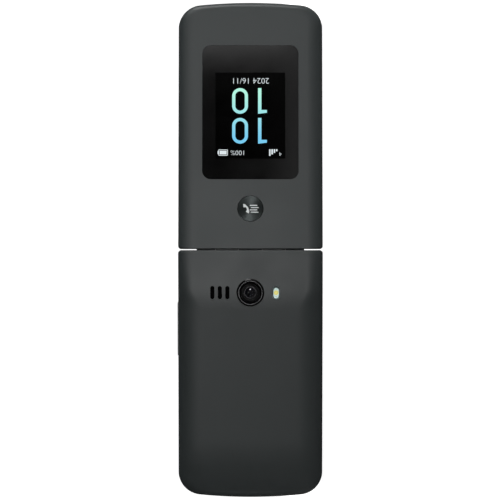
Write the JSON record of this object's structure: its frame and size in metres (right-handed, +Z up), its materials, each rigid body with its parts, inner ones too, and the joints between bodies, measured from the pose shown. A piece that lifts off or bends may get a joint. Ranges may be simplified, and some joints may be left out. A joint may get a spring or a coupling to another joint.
{
  "type": "flip phone",
  "caption": "Open clamshell phone with a keypad half, a lid with inner and outer displays, and a barrel hinge between them.",
  "frame": {"origin": "middle of the underside of the opened phone as it stands on its long side", "axes": "+Z up along the hinge axis; +X from the keypad half towards the lid; +Y out of the keypad's inner face"},
  "size_m": [0.1976, 0.0366, 0.0582],
  "materials": {
    "case_plastic": "fine matte texture",
    "cover_plastic": "soft matte, faint sheen",
    "bezel_plastic": "satin black",
    "window": "gloss black border",
    "display": "gloss",
    "key_metal": "radially brushed dark metal",
    "keycap": "satin black with pale legends",
    "nav_metal": "satin dark metal",
    "board": "green solder mask",
    "steel": "plain",
    "frame": "cast, dark",
    "battery": "printed wrap",
    "rubber": "matte",
    "silicone": "translucent white",
    "lens_ring": "gloss black",
    "lens_glass": "coated",
    "flash_diffuser": "clear ribbed",
    "led": "phosphor yellow",
    "mesh": "fine black gauze",
    "copper_film": "amber film"
  },
  "bodies": {
    "base": {"keypad_case": "case_plastic", "mid_frame": "frame", "main_board": "board", "shield_cans": "steel", "keypad_mat": "silicone", "battery": "battery", "camera_module": "lens_ring", "flash_led": "led", "loudspeaker": "mesh", "usb_socket": "steel", "headset_jack": "bezel_plastic", "microphone": "steel", "sim_holder": "steel", "vibration_motor": "steel", "frame_screws": "steel", "hinge_cam_shaft": "steel", "hinge_pivot": "steel", "hinge_flex": "copper_film", "hinge_caps": "case_plastic"},
    "cover": {"back_cover": "cover_plastic", "camera_ring": "lens_ring", "camera_glass": "lens_glass", "flash_lens": "flash_diffuser"},
    "lid": {"lid_cover": "cover_plastic", "lid_bezel": "bezel_plastic", "outer_window": "window", "outer_display": "display", "inner_window": "window", "main_display": "display", "lid_board": "board", "earpiece": "steel", "earpiece_mesh": "mesh", "lid_magnet": "steel", "lid_bumpers": "rubber", "lid_screws": "steel", "hinge_cartridge": "steel"},
    "outer_key": {"outer_key": "key_metal"},
    "nav_pad": {"nav_pad": "silicone"},
    "nav_ring": {"nav_ring": "nav_metal"},
    "ok_key": {"ok_key": "key_metal"},
    "volume_rocker": {"volume_rocker": "case_plastic"},
    "key_1": {"key_1": "keycap"},
    "key_2": {"key_2": "keycap"},
    "key_3": {"key_3": "keycap"},
    "key_4": {"key_4": "keycap"},
    "key_5": {"key_5": "keycap"},
    "key_6": {"key_6": "keycap"},
    "key_7": {"key_7": "keycap"},
    "key_8": {"key_8": "keycap"},
    "key_9": {"key_9": "keycap"},
    "key_star": {"key_star": "keycap"},
    "key_0": {"key_0": "keycap"},
    "key_hash": {"key_hash": "keycap"},
    "soft_key_left": {"soft_key_left": "keycap"},
    "soft_key_right": {"soft_key_right": "keycap"},
    "shortcut_key_left": {"shortcut_key_left": "keycap"},
    "shortcut_key_right": {"shortcut_key_right": "keycap"},
    "call_key": {"call_key": "keycap"},
    "clear_key": {"clear_key": "keycap"},
    "end_key": {"end_key": "keycap"}
  },
  "joints": [
    {"name": "lid_hinge", "type": "hinge", "parent": "base", "child": "lid", "pos_m": [0.00093, -0.00722, 0.02895], "axis": [0, 0, 1], "range_deg": [0, 165]},
    {"name": "cover_release", "type": "slide", "parent": "base", "child": "cover", "axis": [0, -1, 0], "range_m": [0, 0.014]},
    {"name": "outer_key_press", "type": "slide", "parent": "lid", "child": "outer_key", "axis": [-0.2588, 0.9659, 0], "range_m": [0, 0.0003], "stiffness_N_per_m": 1500},
    {"name": "nav_pad_rock", "type": "hinge", "parent": "base", "child": "nav_pad", "pos_m": [-0.02057, -0.00892, 0.02895], "axis": [0, 0, 1], "range_deg": [-1.3, 1.3], "stiffness_Nm_per_rad": 0.3},
    {"name": "nav_ring_rock", "type": "hinge", "parent": "nav_pad", "child": "nav_ring", "pos_m": [-0.02057, -0.00892, 0.02895], "axis": [1, 0, 0], "range_deg": [-1.3, 1.3], "stiffness_Nm_per_rad": 0.3},
    {"name": "ok_key_press", "type": "slide", "parent": "base", "child": "ok_key", "axis": [0, -1, 0], "range_m": [0, 0.00035], "stiffness_N_per_m": 1500},
    {"name": "volume_rock", "type": "hinge", "parent": "base", "child": "volume_rocker", "pos_m": [-0.03057, -0.01087, 0.0563], "axis": [0, 1, 0], "range_deg": [-1.2, 1.2], "stiffness_Nm_per_rad": 0.3},
    {"name": "key_1_press", "type": "slide", "parent": "base", "child": "key_1", "axis": [0, -1, 0], "range_m": [0, 0.00035], "stiffness_N_per_m": 1500},
    {"name": "key_2_press", "type": "slide", "parent": "base", "child": "key_2", "axis": [0, -1, 0], "range_m": [0, 0.00035], "stiffness_N_per_m": 1500},
    {"name": "key_3_press", "type": "slide", "parent": "base", "child": "key_3", "axis": [0, -1, 0], "range_m": [0, 0.00035], "stiffness_N_per_m": 1500},
    {"name": "key_4_press", "type": "slide", "parent": "base", "child": "key_4", "axis": [0, -1, 0], "range_m": [0, 0.00035], "stiffness_N_per_m": 1500},
    {"name": "key_5_press", "type": "slide", "parent": "base", "child": "key_5", "axis": [0, -1, 0], "range_m": [0, 0.00035], "stiffness_N_per_m": 1500},
    {"name": "key_6_press", "type": "slide", "parent": "base", "child": "key_6", "axis": [0, -1, 0], "range_m": [0, 0.00035], "stiffness_N_per_m": 1500},
    {"name": "key_7_press", "type": "slide", "parent": "base", "child": "key_7", "axis": [0, -1, 0], "range_m": [0, 0.00035], "stiffness_N_per_m": 1500},
    {"name": "key_8_press", "type": "slide", "parent": "base", "child": "key_8", "axis": [0, -1, 0], "range_m": [0, 0.00035], "stiffness_N_per_m": 1500},
    {"name": "key_9_press", "type": "slide", "parent": "base", "child": "key_9", "axis": [0, -1, 0], "range_m": [0, 0.00035], "stiffness_N_per_m": 1500},
    {"name": "key_star_press", "type": "slide", "parent": "base", "child": "key_star", "axis": [0, -1, 0], "range_m": [0, 0.00035], "stiffness_N_per_m": 1500},
    {"name": "key_0_press", "type": "slide", "parent": "base", "child": "key_0", "axis": [0, -1, 0], "range_m": [0, 0.00035], "stiffness_N_per_m": 1500},
    {"name": "key_hash_press", "type": "slide", "parent": "base", "child": "key_hash", "axis": [0, -1, 0], "range_m": [0, 0.00035], "stiffness_N_per_m": 1500},
    {"name": "soft_key_left_press", "type": "slide", "parent": "base", "child": "soft_key_left", "axis": [0, -1, 0], "range_m": [0, 0.00035], "stiffness_N_per_m": 1500},
    {"name": "soft_key_right_press", "type": "slide", "parent": "base", "child": "soft_key_right", "axis": [0, -1, 0], "range_m": [0, 0.00035], "stiffness_N_per_m": 1500},
    {"name": "shortcut_key_left_press", "type": "slide", "parent": "base", "child": "shortcut_key_left", "axis": [0, -1, 0], "range_m": [0, 0.00035], "stiffness_N_per_m": 1500},
    {"name": "shortcut_key_right_press", "type": "slide", "parent": "base", "child": "shortcut_key_right", "axis": [0, -1, 0], "range_m": [0, 0.00035], "stiffness_N_per_m": 1500},
    {"name": "call_key_press", "type": "slide", "parent": "base", "child": "call_key", "axis": [0, -1, 0], "range_m": [0, 0.00035], "stiffness_N_per_m": 1500},
    {"name": "clear_key_press", "type": "slide", "parent": "base", "child": "clear_key", "axis": [0, -1, 0], "range_m": [0, 0.00035], "stiffness_N_per_m": 1500},
    {"name": "end_key_press", "type": "slide", "parent": "base", "child": "end_key", "axis": [0, -1, 0], "range_m": [0, 0.00035], "stiffness_N_per_m": 1500}
  ]
}
